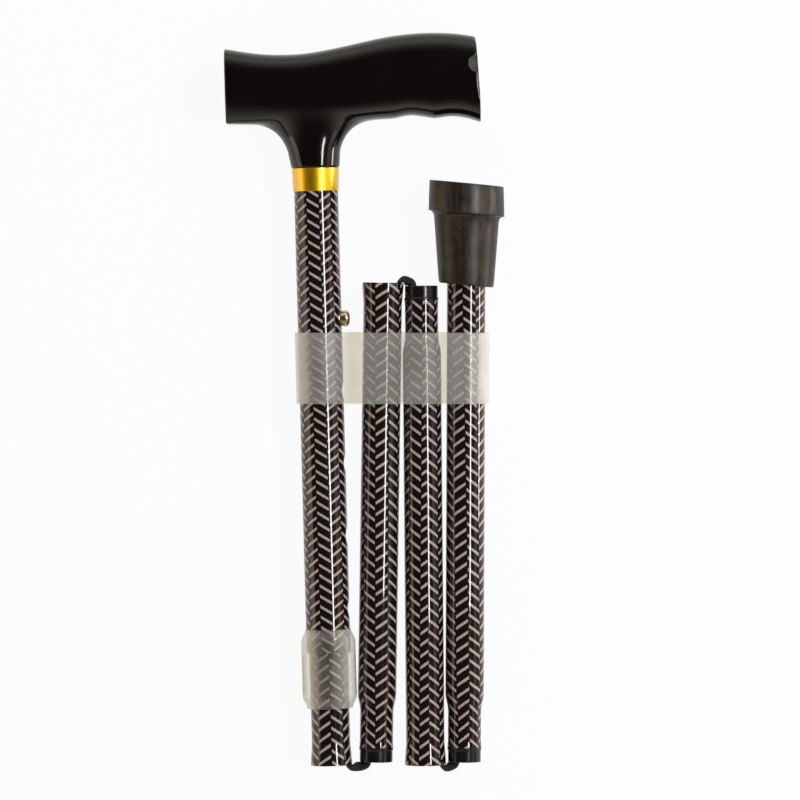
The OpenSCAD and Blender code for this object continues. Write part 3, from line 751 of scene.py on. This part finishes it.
class CANE_OT_lower_tubes(Operator):
    """Draws the four lower tubes, with their flared mouths and swaged necks"""

    bl_idname = "cane.lower_tubes"
    bl_label = "Lower tubes"

    def execute(self, context):
        s, look = context.scene.cane_tubes, context.scene.cane_print
        frames = section_frames()
        rim = (s.tube_r + s.flare, 0)
        mouth = [rim] + eased(rim, (s.tube_r, s.flare_length))
        mouth.append((s.tube_r, s.flare_length + s.support))
        levels = (s.button_z - HOLE_MARGIN, s.button_z + HOLE_MARGIN, s.tube_length)
        first = lathe("section_1_skin", walled(mouth + [(s.tube_r, z) for z in levels], s.tube_wall))
        bore(first, s.hole_r, s.button_z)
        skins = [(1, first, "height_tube")]
        top = s.fold_gap + s.cap_h
        neck_end = top + s.neck_length
        taper_end = neck_end + s.taper_length
        brim, foot = (s.neck_r + s.neck_brim, top), (s.neck_r, neck_end)
        plug = [brim] + eased(brim, (s.neck_r, top + s.brim_length))
        plug += [(s.neck_r, top + s.brim_length + s.support), (s.neck_r, neck_end - s.support), foot]
        plug += eased(foot, (s.tube_r, taper_end)) + [(s.tube_r, taper_end + s.support)]
        for n in (2, 3, 4):
            if n == 4:
                outside = plug + [(s.tube_r, s.fold_gap + s.last_length)]
            else:
                outside = plug + [(r, s.fold_gap + s.section_length - z) for r, z in mouth[::-1]]
            profile = walled(outside, s.tube_wall)
            if n == 3:
                profile = [(r, -z) for r, z in profile]
            skins.append((n, lathe(f"section_{n}_skin", profile), f"section_{n}"))
        for n, skin, body in skins:
            print_tube(skin, look.lower_column, look.lower_pitch, LOWER_PRINTS[n])
            settle(skin, frames[n], body, "printed_tube", f"section_{n}_tube")
        return {"FINISHED"}


class CANE_OT_upper_tube(Operator):
    """Draws the upper tube and bores its row of height holes"""

    bl_idname = "cane.upper_tube"
    bl_label = "Upper tube"

    def execute(self, context):
        s, look = context.scene.cane_tubes, context.scene.cane_print
        heights = [s.button_z - i * s.hole_pitch for i in range(s.holes)]
        rims = sorted(z + side * 2 * s.hole_r for z in heights for side in (-1, 1))
        levels = [s.tube_showing] + rims + [s.tube_showing + s.upper_length]
        tube = lathe("upper_tube_skin", walled([(s.upper_r, z) for z in levels], s.upper_wall))
        for z in heights:
            bore(tube, s.hole_r, z)
        print_tube(tube, look.upper_column, look.upper_pitch, UPPER_PRINT)
        settle(tube, section_frames()[1], "upper_section", "printed_tube", "upper_tube")
        return {"FINISHED"}


class CANE_OT_handle(Operator):
    """Draws out the handle's arm and stem, joins them and smooths the join"""

    bl_idname = "cane.handle"
    bl_label = "Handle"

    def draw_arm(self, h, base):
        points, stations = 56, 60
        arm = circle("handle_skin", points)
        power = 2 / h.squareness

        def level(s):
            top, under = (h.height * smooth_share(p, s) for p in (TOP_SHARES, UNDER_SHARES))
            return base + (top + under) / 2, (top - under) / 2

        middle, half = level(0)
        for i, v in enumerate(arm.data.vertices):
            c, n = (math.copysign(abs(f(math.tau * i / points)) ** power, f(math.tau * i / points))
                    for f in (math.cos, math.sin))
            v.co = (-h.left, h.depth / 2 * c, middle + half * n)
        edit_all()
        for i in range(1, stations + 1):
            to_middle, to_half = level(i / stations)
            extrude((h.arm / stations, 0, to_middle - middle))
            bpy.ops.transform.resize(value=(1, 1, to_half / half), center_override=(0, 0, to_middle))
            middle, half = to_middle, to_half
        bpy.ops.object.mode_set(mode="OBJECT")
        for v in arm.data.vertices:
            s = (v.co.x + h.left) / h.arm
            to_middle, to_half = level(min(max(s, 0), 1))
            up = (v.co.z - to_middle) / to_half
            v.co.x -= h.rake * max(0, (1 + up) / 2) ** 3 * s ** 4
            if up < 0 and s < FLAT_REACH:
                self.flatten(v, h, up, to_half, 1 - (s / FLAT_REACH) ** 2)
        clean_skin(arm)
        return arm

    def flatten(self, v, h, up, half, weight):
        """Draws a point of the rounded underside towards a flat one with a rounder front edge."""
        corner = 2 ** (-1 / h.squareness)
        share = min(1, -up / corner)
        wall = (1 - (h.flat * share) ** h.flat_power) ** (1 / h.flat_power)
        if share == 1:
            wall *= abs(v.co.y) / (h.depth / 2 * corner)
        v.co.y += weight * (math.copysign(h.depth / 2 * wall, v.co.y) - v.co.y)
        v.co.z -= weight * (share + up) * half

    def draw_stem(self, h, base):
        rings, reach = 24, h.height / 2
        profile = [(h.spigot_r, base - h.spigot_length), (h.spigot_r, base), (h.stem_r, base)]
        profile += [(h.stem_r, base + reach * i / rings) for i in range(1, rings + 1)]
        stem = lathe("handle_stem", profile, closed=False, sides=72)
        for v in stem.data.vertices:
            s = (v.co.z - base) / h.height
            if s > 0:
                v.co.x *= smooth_share(STEM_LEFT_SHARES if v.co.x < 0 else STEM_RIGHT_SHARES, s)
                v.co.y *= smooth_share(STEM_DEPTH_SHARES, s)
        return stem

    def ease_join(self, arm, h, base):
        """Smooths the skin where the stem runs into the arm."""
        join = arm.vertex_groups.new(name="join")
        width, height = JOIN_WIDTH * h.arm, JOIN_HEIGHT * h.height
        middle = base + JOIN_PLACE * h.height
        for v in arm.data.vertices:
            away = (v.co.x / width) ** 2 + ((v.co.z - middle) / height) ** 2
            if away < 1:
                join.add([v.index], (1 - away) ** 0.5, "REPLACE")
        apply_modifier(arm, "SMOOTH", factor=0.5, iterations=200, vertex_group="join")
        arm.vertex_groups.clear()

    def press_gate(self, arm, h, base):
        """Presses a round dimple into the front at the right end and gives its ball's centre and radius."""
        ball = (h.gate_r ** 2 + h.gate_depth ** 2) / (2 * h.gate_depth)
        centre = Vector((h.arm - h.left - h.rake / 2, h.gate_depth - h.gate_skin - ball,
                         base + h.height * h.gate_share))
        deselect()
        bpy.ops.mesh.primitive_uv_sphere_add(segments=96, ring_count=64, radius=ball, location=centre)
        combine(arm, bpy.context.object)
        return centre, ball

    def execute(self, context):
        h, s = context.scene.cane_handle, context.scene.cane_tubes
        base = s.tube_showing + s.upper_length
        arm = self.draw_arm(h, base)
        combine(arm, self.draw_stem(h, base), "UNION")
        apply_modifier(arm, "REMESH", mode="VOXEL", voxel_size=h.voxel)
        apply_modifier(arm, "SMOOTH", factor=0.5, iterations=6)
        self.ease_join(arm, h, base)
        centre, ball = self.press_gate(arm, h, base)
        near = ball * 1.01
        clean_skin(arm)
        dull = moulded_plastic("dull_black_plastic", tints().gate, rough=0.6)
        two_tone(arm, gloss_black(), dull, lambda face: (face.center - centre).length < near)
        settle(arm, section_frames()[1], "upper_section", "handle_plastic", "handle_grip")
        return {"FINISHED"}


class CANE_OT_ring(Operator):
    """Turns the gold ring below the handle"""

    bl_idname = "cane.ring"
    bl_label = "Ring"

    def execute(self, context):
        s, d = measures(context)
        top = s.tube_showing + s.upper_length
        bottom = top - d.ring_h
        seat, outside = s.upper_r + SEAT_GAP, s.upper_r + d.ring_wall
        ring = lathe("handle_ring_band", [(seat, bottom), (outside - RING_TAPER, bottom),
                                          (outside, top), (seat, top)])
        round_edges(ring, RING_EDGE)
        clean_skin(ring)
        settle(ring, section_frames()[1], "upper_section", "ring_gold", "handle_ring", gold_anodised())
        return {"FINISHED"}


class CANE_OT_lock_sleeve(Operator):
    """Turns the milky lock sleeve and presses its grip ribs"""

    bl_idname = "cane.lock_sleeve"
    bl_label = "Lock sleeve"

    def execute(self, context):
        s, d = measures(context)
        step = s.tube_showing - SLEEVE_STEP
        top = s.tube_showing + d.sleeve_cover
        bottom = top - d.sleeve_length
        inside, cover = s.tube_r + d.sleeve_fit, s.upper_r + d.sleeve_fit
        nose = cover + d.sleeve_fit
        low, high = bottom + d.sleeve_chamfer, top - d.sleeve_chamfer
        grip_low, grip_high = low + GRIP_EDGE, high - GRIP_DROP
        levels = (grip_low, grip_low + GRIP_EDGE, grip_high - GRIP_EDGE, grip_high, high)
        profile = [(inside, bottom), (nose, bottom)] + eased((nose, bottom), (d.sleeve_r, low), steps=6)
        profile += [(d.sleeve_r, z) for z in levels]
        profile += eased((d.sleeve_r, high), (nose, top), steps=6)
        profile += [(cover, top), (cover, step), (inside, step)]
        parts, slack = 3, 1e-5
        sleeve = lathe("lock_sleeve_shell", profile, sides=parts * d.ribs)
        for v in sleeve.data.vertices:
            radius = math.hypot(v.co.x, v.co.y)
            turn = round(math.atan2(v.co.y, v.co.x) / math.tau * parts * d.ribs)
            ribbed = grip_low < v.co.z - slack < grip_high - GRIP_EDGE
            if radius > d.sleeve_r - slack and ribbed and turn % parts == 0:
                share = 1 - d.rib_depth / radius
                v.co.x *= share
                v.co.y *= share
        clean_skin(sleeve, angle=60)
        tint = tints()
        plastic = milky("milky_sleeve", tint.sleeve, tint.sleeve_pass, veil=0.055, haze=0.75)
        settle(sleeve, section_frames()[1], "lock_sleeve", "sleeve_plastic", "lock_sleeve", plastic)
        return {"FINISHED"}


class CANE_OT_button(Operator):
    """Turns the snap button, with its flange and rounded head"""

    bl_idname = "cane.button"
    bl_label = "Snap button"

    def execute(self, context):
        s, d = measures(context)
        foot, flange_r = d.button_foot, d.button_r + BUTTON_FLANGE
        skirt = foot + BUTTON_FLANGE_H
        head = d.button_top - BUTTON_ROUND
        low_r, skin_r, high_r = (d.button_r * share for share in BARREL_SHARES)
        profile = [(flange_r / 3, foot), (flange_r, foot), (flange_r, skirt), (low_r, skirt),
                   (skin_r, s.upper_r), (high_r, s.upper_r + BARREL_RISE)]
        steps = 8
        for i in range(steps + 1):
            a = math.pi / 2 * i / steps
            profile.append((d.button_r - BUTTON_ROUND * (1 - math.cos(a)),
                            head + BUTTON_ROUND * math.sin(a)))
        profile.append((d.button_r / 5, d.button_top + BUTTON_CROWN))
        button = lathe("snap_button_head", profile, closed=False, sides=64)
        nickel = bright_metal("button_nickel", tints().button, rough=0.2, lines=(60, 2400, 2400))
        place = Matrix.Translation((0, 0, s.button_z)) @ Matrix.Rotation(math.pi / 2, 4, "Y")
        settle(button, section_frames()[1] @ place, "snap_button", "button_metal", "snap_button", nickel)
        return {"FINISHED"}


class CANE_OT_spring(Operator):
    """Bends the leaf spring behind the button"""

    bl_idname = "cane.spring"
    bl_label = "Leaf spring"

    def execute(self, context):
        s, d = measures(context)
        half = d.leaf_t / 2
        front, back = d.button_foot - d.leaf_gap - half, half - d.leaf_back
        knee, tail = s.button_z - d.leaf_knee, s.button_z + d.leaf_tail
        bend = s.button_z - d.leaf_fork
        route = soften([(front, tail), (front, knee), (half, bend),
                        (-half, bend), (back, knee), (back, tail)])
        sides = []
        for i, (x, z) in enumerate(route):
            (ax, az), (bx, bz) = route[max(i - 1, 0)], route[min(i + 1, len(route) - 1)]
            reach = half / math.hypot(bx - ax, bz - az)
            step = ((bz - az) * reach, (ax - bx) * reach)
            sides.append([(x + step[0], z + step[1]), (x - step[0], z - step[1])])
        outline = [a for a, _ in sides] + [b for _, b in sides[::-1]]
        rings = [[(x, y * d.leaf_w / 2, z) for x, z in outline] for y in (-1, 0, 1)]
        spring = loft("button_spring_leaf", rings)
        clean_skin(spring)
        round_edges(spring, d.leaf_t / 5, angle=50, segments=2)
        clean_skin(spring, angle=40)
        here = section_frames()[1]
        steel = bright_metal("spring_steel", tints().steel, rough=0.26)
        settle(spring, here, "height_tube", "spring_steel", "button_spring", steel)
        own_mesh(spring)
        return {"FINISHED"}


class CANE_OT_caps(Operator):
    """Turns the black caps on the three plugs"""

    bl_idname = "cane.caps"
    bl_label = "Caps"

    def execute(self, context):
        s = context.scene.cane_tubes
        frames = section_frames()
        plastic = moulded_plastic("cap_black", tints().cap, rough=0.2)
        face = s.fold_gap
        foot, tail = face + s.cap_h, face + s.cap_h + s.cap_spigot
        spigot_r = s.neck_r - s.tube_wall - SEAT_GAP
        lip_r, lip = s.cap_r + CAP_LIP, foot - CAP_LIP_H
        profile = [(s.cap_bore_r, tail), (spigot_r, tail), (spigot_r, foot), (lip_r, foot), (lip_r, lip),
                   (s.cap_r, lip - CAP_LIP), (s.cap_r, face), (s.cap_bore_r, face)]
        for n in (2, 3, 4):
            points = [(r, -z) for r, z in profile] if n == 3 else profile
            cap = lathe(f"section_{n}_cap_ring", points)
            round_edges(cap, CAP_EDGE)
            clean_skin(cap)
            settle(cap, frames[n], f"section_{n}", "cap_plastic", f"section_{n}_cap", plastic)
        return {"FINISHED"}


class CANE_OT_cord_loops(Operator):
    """Draws the cord's loops from each mouth into the next cap"""

    bl_idname = "cane.cord_loops"
    bl_label = "Cord loops"

    def execute(self, context):
        s, d = measures(context)
        frames = section_frames()
        r, leg = d.cord_r, d.loop_leg
        brim = s.tube_r + s.flare
        lip = brim - s.tube_wall
        wall = d.cord_entry - s.cap_bore_r
        end = s.fold_gap + s.section_length
        for n, mouth, way in ((1, 0.0, 1), (2, end, -1), (3, -end, 1)):
            here, there = frames[n], frames[n + 1]
            entry_way = 1 if n != 2 else -1

            def into_here(point):
                local = here.inverted() @ there @ Vector((point[0], 0, point[1]))
                return local.x, local.z

            def out_of(x, depth):
                return x, mouth + way * depth

            def into(x, depth):
                return into_here((x - d.cord_entry, entry_way * (s.fold_gap + depth)))

            corner, face = out_of(brim, 0), into_here((-s.cap_r, entry_way * s.fold_gap))
            gap = (corner[0] + face[0]) / 2
            arch = (corner[1] + face[1]) / 2 + way * d.loop_arch * (face[0] - corner[0])
            # The loop's two edges, from the mouth over the gap to the cap, set off by shares of the radius.
            inner = [out_of(d.cord_exit + r, leg), out_of(lip - 0.15 * r, r),
                     out_of(lip - 0.1 * r, -0.15 * r), out_of(brim + 0.05 * r, -0.15 * r), (gap, arch),
                     into(d.cord_entry - s.cap_r, -0.1 * r), into(wall + 0.15 * r, -0.1 * r),
                     into(-r, r), into(-r, leg)]
            outer = [out_of(d.cord_exit - r, leg), out_of(lip - 1.75 * r, r),
                     out_of(lip - 1.1 * r, -0.7 * r), out_of(lip, -1.75 * r), out_of(gap, -1.9 * r),
                     into(wall, -2.4 * r), into(0.5 * r, -1.6 * r),
                     into(1.1 * r, -0.1 * r), into(r, leg)]
            name = f"{n}{n + 1}"
            edges = list(zip(soften(inner), soften(outer)))
            cord = draw_cord(f"fold_cord_{name}", edges, here, f"cord_link_{name}")
            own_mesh(cord)
        return {"FINISHED"}


class CANE_OT_cord_runs(Operator):
    """Draws the cord's runs inside the tubes"""

    bl_idname = "cane.cord_runs"
    bl_label = "Cord runs"

    def execute(self, context):
        s, d = measures(context)
        frames = section_frames()
        reach = d.loop_leg + d.cord_gap
        cap_in = s.fold_gap + reach
        mouth_in = s.fold_gap + s.section_length - reach
        tip_in = s.fold_gap + s.last_length - d.tip_bore_depth - d.anchor_h - d.cord_gap
        runs = ((1, (0, d.anchor_z - d.cord_gap), (d.cord_exit, reach), "height_tube", "insert_12"),
                (2, (-d.cord_entry, cap_in), (d.cord_exit, mouth_in), "section_2", "insert_23"),
                (3, (-d.cord_entry, -cap_in), (d.cord_exit, -mouth_in), "section_3", "insert_34"),
                (4, (-d.cord_entry, cap_in), (0, tip_in), "section_4", None))
        steps = 24
        for n, held, loose, body, joint in runs:
            start, run = Vector(held), Vector(loose) - Vector(held)
            half = Vector((run.y, -run.x)).normalized() * d.cord_r
            route = [start + run * i / steps for i in range(steps + 1)]
            cord = draw_cord(f"cord_{n}", [(p + half, p - half) for p in route], frames[n], body)
            if joint:
                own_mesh(cord)
        return {"FINISHED"}


class CANE_OT_tip(Operator):
    """Turns the rubber tip, with its flange and lip, and sets it slightly askew"""

    bl_idname = "cane.tip"
    bl_label = "Rubber tip"

    def execute(self, context):
        s, d = measures(context)
        tube_end = s.fold_gap + s.last_length
        mouth = tube_end - d.tip_bore_depth
        ground = mouth + d.tip_h
        flange = ground - d.flange_h
        waist = flange - TIP_RUN_OUT
        hole_r, floor = s.tube_r + SEAT_GAP, tube_end + WASHER_ROOM
        mouth_r, waist_r, flange_r = d.tip_mouth_r, d.tip_waist_r, d.flange_r
        profile = [(hole_r * 0.3, floor), (hole_r, floor), (hole_r, mouth), (mouth_r - TIP_EDGE, mouth),
                   (mouth_r, mouth + TIP_EDGE)]
        profile += [(mouth_r + (waist_r - mouth_r) * t, mouth + (waist - mouth) * t)
                    for t in (0.12, 0.3, 0.5, 0.7, 0.88, 1)]
        for r, z, points in ((waist_r, flange, TIP_FILLET), (flange_r, flange, TIP_LIP),
                             (flange_r, ground, TIP_TREAD)):
            profile += [(r + out, z + down) for out, down in points]
        profile += [(flange_r * share, ground) for share in (0.6, 0.25)]
        tip = lathe("rubber_tip_body", profile, closed=False)
        slope, slack = math.tan(d.tip_skew), 1e-6
        for v in tip.data.vertices:
            if abs(v.co.z - floor) > slack:
                v.co.z -= slope * v.co.x
        clean_skin(tip, angle=40)
        settle(tip, section_frames()[4], "section_4", "tip_rubber", "rubber_tip", tip_rubber())
        return {"FINISHED"}


class CANE_OT_strap(Operator):
    """Wraps the flat vinyl strap round all four sections"""

    bl_idname = "cane.strap"
    bl_label = "Holding strap"

    def outline(self, s, d, centres):
        """Points of the strap's outside from end to end, as (x, depth), dipping between the tubes."""
        reach = [r + d.strap_t for r in (d.strap_left_r, d.strap_rise, d.strap_rise, d.strap_right_r)]
        tubes = list(zip(centres, reach, (s.upper_r, s.tube_r, s.tube_r, s.tube_r)))
        steps = 14
        turns = [math.pi / 2 * i / steps for i in range(steps)]
        points = [(centres[0] - reach[0] * math.cos(a), reach[0] * math.sin(a)) for a in turns]
        for (x, r, skin), (to_x, to_r, to_skin) in zip(tubes, tubes[1:]):
            gap = to_x - x - skin - to_skin
            for i in range(steps):
                t = i / steps
                wave = math.tau * min(t / d.strap_sag, 1)
                dip = d.strap_dip * gap * (1 - math.cos(wave)) / 2
                points.append((x + (to_x - x) * t, r + (to_r - r) * t - dip))
        points += [(centres[3] + reach[3] * math.sin(a), reach[3] * math.cos(a)) for a in turns]
        return points + [(centres[3] + reach[3], 0.0)]

    def execute(self, context):
        s, d = measures(context)
        frames = section_frames()
        axis = -Vector(JOINTS["strap_slide"]["axis"]).normalized()
        normal = -Vector(JOINTS["fold_12"]["axis"]).normalized()
        matrix = section_frame(axis, normal, frames[1].translation)
        bottom = s.button_z - d.strap_drop - d.strap_w
        axes = [matrix.inverted() @ frames[n] for n in (1, 2, 3, 4)]
        steps = 8
        rings = []
        for i in range(steps + 1):
            z = bottom + d.strap_w * i / steps
            centres = [m[0][3] + m[0][2] / m[2][2] * (z - m[2][3]) for m in axes]
            front = self.outline(s, d, centres)
            loop = [(x, -depth) for x, depth in front] + front[-2:0:-1]
            rings.append([(x, y, z) for x, y in loop])
        strap = loft("holding_strap_band", rings, "NOTHING")
        clean_skin(strap)
        apply_modifier(strap, "SOLIDIFY", thickness=d.strap_t, offset=-1.0)
        round_edges(strap, STRAP_EDGE, angle=40, segments=2)
        clean_skin(strap, angle=40)
        tint = tints()
        vinyl = milky("milky_vinyl", tint.strap, tint.strap_pass, veil=0.155, haze=0.6)
        settle(strap, matrix, "strap", "strap_vinyl", "holding_strap", vinyl)
        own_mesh(strap)
        return {"FINISHED"}


class CANE_OT_inner_parts(Operator):
    """Gives the carried-over inner parts their finishes"""

    bl_idname = "cane.inner_parts"
    bl_label = "Inner parts"

    def execute(self, context):
        steel = bpy.data.materials["spring_steel"]
        plastic = moulded_plastic("anchor_white", tints().anchor, rough=0.4)
        knot = braided_cord("knotted_elastic", mapped=False)
        finishes = {"tip_washer": steel, "cord_anchor_upper": plastic, "cord_anchor_lower": plastic,
                    "cord_knot_upper": knot, "cord_knot_lower": knot}
        for node, finish in finishes.items():
            part = frame["nodes"][node]
            part.data.materials.clear()
            part.data.materials.append(finish)
        return {"FINISHED"}


class CANE_OT_stage(Operator):
    """Sets the pale floor, the soft studio light and the camera"""

    bl_idname = "cane.stage"
    bl_label = "Stage"

    def softbox(self, name, place, size, radiance, tint):
        """A rectangular lamp square to the cane, of a given length, width and brightness."""
        deselect()
        axes_height = 0.01
        facing = (Vector((0, place[1], axes_height)) - Vector(place)).to_track_quat("-Z", "Y")
        bpy.ops.object.light_add(type="AREA", location=place, rotation=facing.to_euler())
        lamp = bpy.context.object
        lamp.name = name
        lamp.data.shape = "RECTANGLE"
        lamp.data.size, lamp.data.size_y = size
        lamp.data.energy = radiance * math.pi * size[0] * size[1]
        lamp.data.color = tint
        lamp.visible_camera = False

    def pale_floor(self, tint, flange_r):
        """A floor along the plane in which the cane unfolds, which the tip's flange touches at every pose."""
        deselect()
        side = 14
        up = Vector(JOINTS["fold_12"]["axis"]).normalized()
        up *= math.copysign(1, up.z)
        place = section_frames()[4].translation - up * flange_r
        lie = up.to_track_quat("Z", "Y").to_euler()
        bpy.ops.mesh.primitive_plane_add(size=side, location=place, rotation=lie)
        bpy.ops.object.transform_apply()
        floor = bpy.context.object
        floor.name = "floor"
        f = Finish("pale_floor")
        f.nodes.remove(f.shader)
        cloud = f.noise(3.0)
        lit = f.add("BsdfDiffuse", {"Color": f.blend(cloud, shaded(tint, 0.98), tint)}).outputs[0]
        path = f.add("LightPath").outputs
        white = f.add("Emission", {"Color": (1, 0.97, 0.93, 1), "Strength": 1.0}).outputs[0]
        page = f.add("Emission", {"Color": (1, 1, 1, 1), "Strength": 1.0}).outputs[0]
        bounced = f.mix(path["Is Diffuse Ray"], lit, f.mix(0.5, lit, page))
        mirrored = f.mix(path["Is Glossy Ray"], bounced, f.mix(0.6, lit, white))
        around = f.mix(path["Is Transmission Ray"], mirrored, page)
        f.show(f.mix(path["Is Camera Ray"], around, f.mix(0.94, lit, page)))
        floor.data.materials.append(f.material)

    def studio_world(self, scene):
        """A room that is lit from the head and the foot of the cane, and white to the camera."""
        world = bpy.data.worlds.new("studio")
        world.use_nodes = True
        scene.world = world
        w = Bench(world.node_tree)
        way = w.add("SeparateXYZ", [w.add("TexCoord").outputs["Generated"]])
        y, z = way.outputs[1], way.outputs[2]
        fade = w.spread(z, 0.2, 0.95, 1.0, 0.0, "SMOOTHSTEP")
        head = w.times(w.spread(y, 0.1, 0.8, 0.0, 1.15, "SMOOTHSTEP"), fade)
        foot = w.times(w.spread(y, -0.1, -0.8, 0.0, 1.05, "SMOOTHSTEP"), fade)
        foot = w.times(foot, w.spread(z, 0.07, 0.17, 0.0, 1.0, "SMOOTHSTEP"))
        glow = w.math("ADD", w.math("ADD", head, foot), 0.05)
        room = w.nodes["Background"]
        room.inputs["Color"].default_value = (1, 0.9, 0.77, 1)
        w.links.new(glow, room.inputs["Strength"])
        page = w.add("Background", {"Color": (1, 1, 1, 1), "Strength": 1.0}).outputs[0]
        seen = w.add("LightPath").outputs["Is Camera Ray"]
        w.show(w.mix(seen, room.outputs[0], page), "World Output")

    def execute(self, context):
        scene = context.scene
        scene.view_settings.view_transform = "Standard"
        self.pale_floor(tuple(scene.cane_colours.floor), scene.cane_fittings.flange_r)
        self.studio_world(scene)
        warm, amber, cool = (1, 0.91, 0.8), (1, 0.82, 0.6), (0.97, 0.99, 1)
        far, key, fill = 1.2, math.radians(31), math.radians(65)
        key_place = (far * math.sin(key), 0.2635, far * math.cos(key))
        fill_place = (far * math.sin(fill), 0, far * math.cos(fill))
        self.softbox("key_strip", key_place, (0.873, 0.13), 27, cool)
        self.softbox("right_strip", (far, 0.175, 0.06), (0.55, 0.12), 20, warm)
        self.softbox("left_panel", (-far, 0, 0.25), (1.4, 0.5), 1.7, amber)
        self.softbox("right_panel", fill_place, (1.4, 0.42), 0.9, amber)
        deselect()
        lens, sensor, view_width = 300, 36, 0.3306
        aim_x, aim_y, aim_z = 0.0143, 0.0017, 0.012
        place = (aim_x, aim_y, aim_z + view_width * lens / sensor)
        bpy.ops.object.camera_add(location=place, rotation=(0, 0, 0))
        camera = context.object
        camera.data.lens = lens
        camera.data.sensor_width = sensor
        camera.data.clip_end = 20
        scene.camera = camera
        return {"FINISHED"}


class CANE_PT_panel(Panel):
    """Lists the cane's pieces and sizes."""

    bl_idname = "CANE_PT_panel"
    bl_label = "Folding cane"
    bl_space_type = "VIEW_3D"
    bl_region_type = "UI"
    bl_category = "Cane"

    def draw(self, context):
        for operator in OPERATORS:
            self.layout.operator(operator.bl_idname)
        for name in GROUPS:
            box = self.layout.box()
            group = getattr(context.scene, name)
            for key in group.__annotations__:
                box.prop(group, key)


GROUPS = {"cane_tubes": CaneTubeSizes, "cane_fittings": CaneFittingSizes, "cane_handle": CaneHandleSizes,
          "cane_print": CanePrint, "cane_colours": CaneColours}
OPERATORS = (CANE_OT_stage, CANE_OT_lower_tubes, CANE_OT_upper_tube, CANE_OT_handle, CANE_OT_ring,
             CANE_OT_lock_sleeve, CANE_OT_button, CANE_OT_spring, CANE_OT_caps, CANE_OT_cord_loops,
             CANE_OT_cord_runs, CANE_OT_tip, CANE_OT_strap, CANE_OT_inner_parts)


def register():
    for name, group in GROUPS.items():
        bpy.utils.register_class(group)
        setattr(bpy.types.Scene, name, PointerProperty(type=group))
    for cls in OPERATORS + (CANE_PT_panel,):
        bpy.utils.register_class(cls)


def unregister():
    for cls in (CANE_PT_panel,) + OPERATORS[::-1]:
        bpy.utils.unregister_class(cls)
    for name, group in GROUPS.items():
        delattr(bpy.types.Scene, name)
        bpy.utils.unregister_class(group)


def main():
    register()
    for operator in OPERATORS:
        group, name = operator.bl_idname.split(".")
        getattr(getattr(bpy.ops, group), name)()


if __name__ == "__main__":
    main()
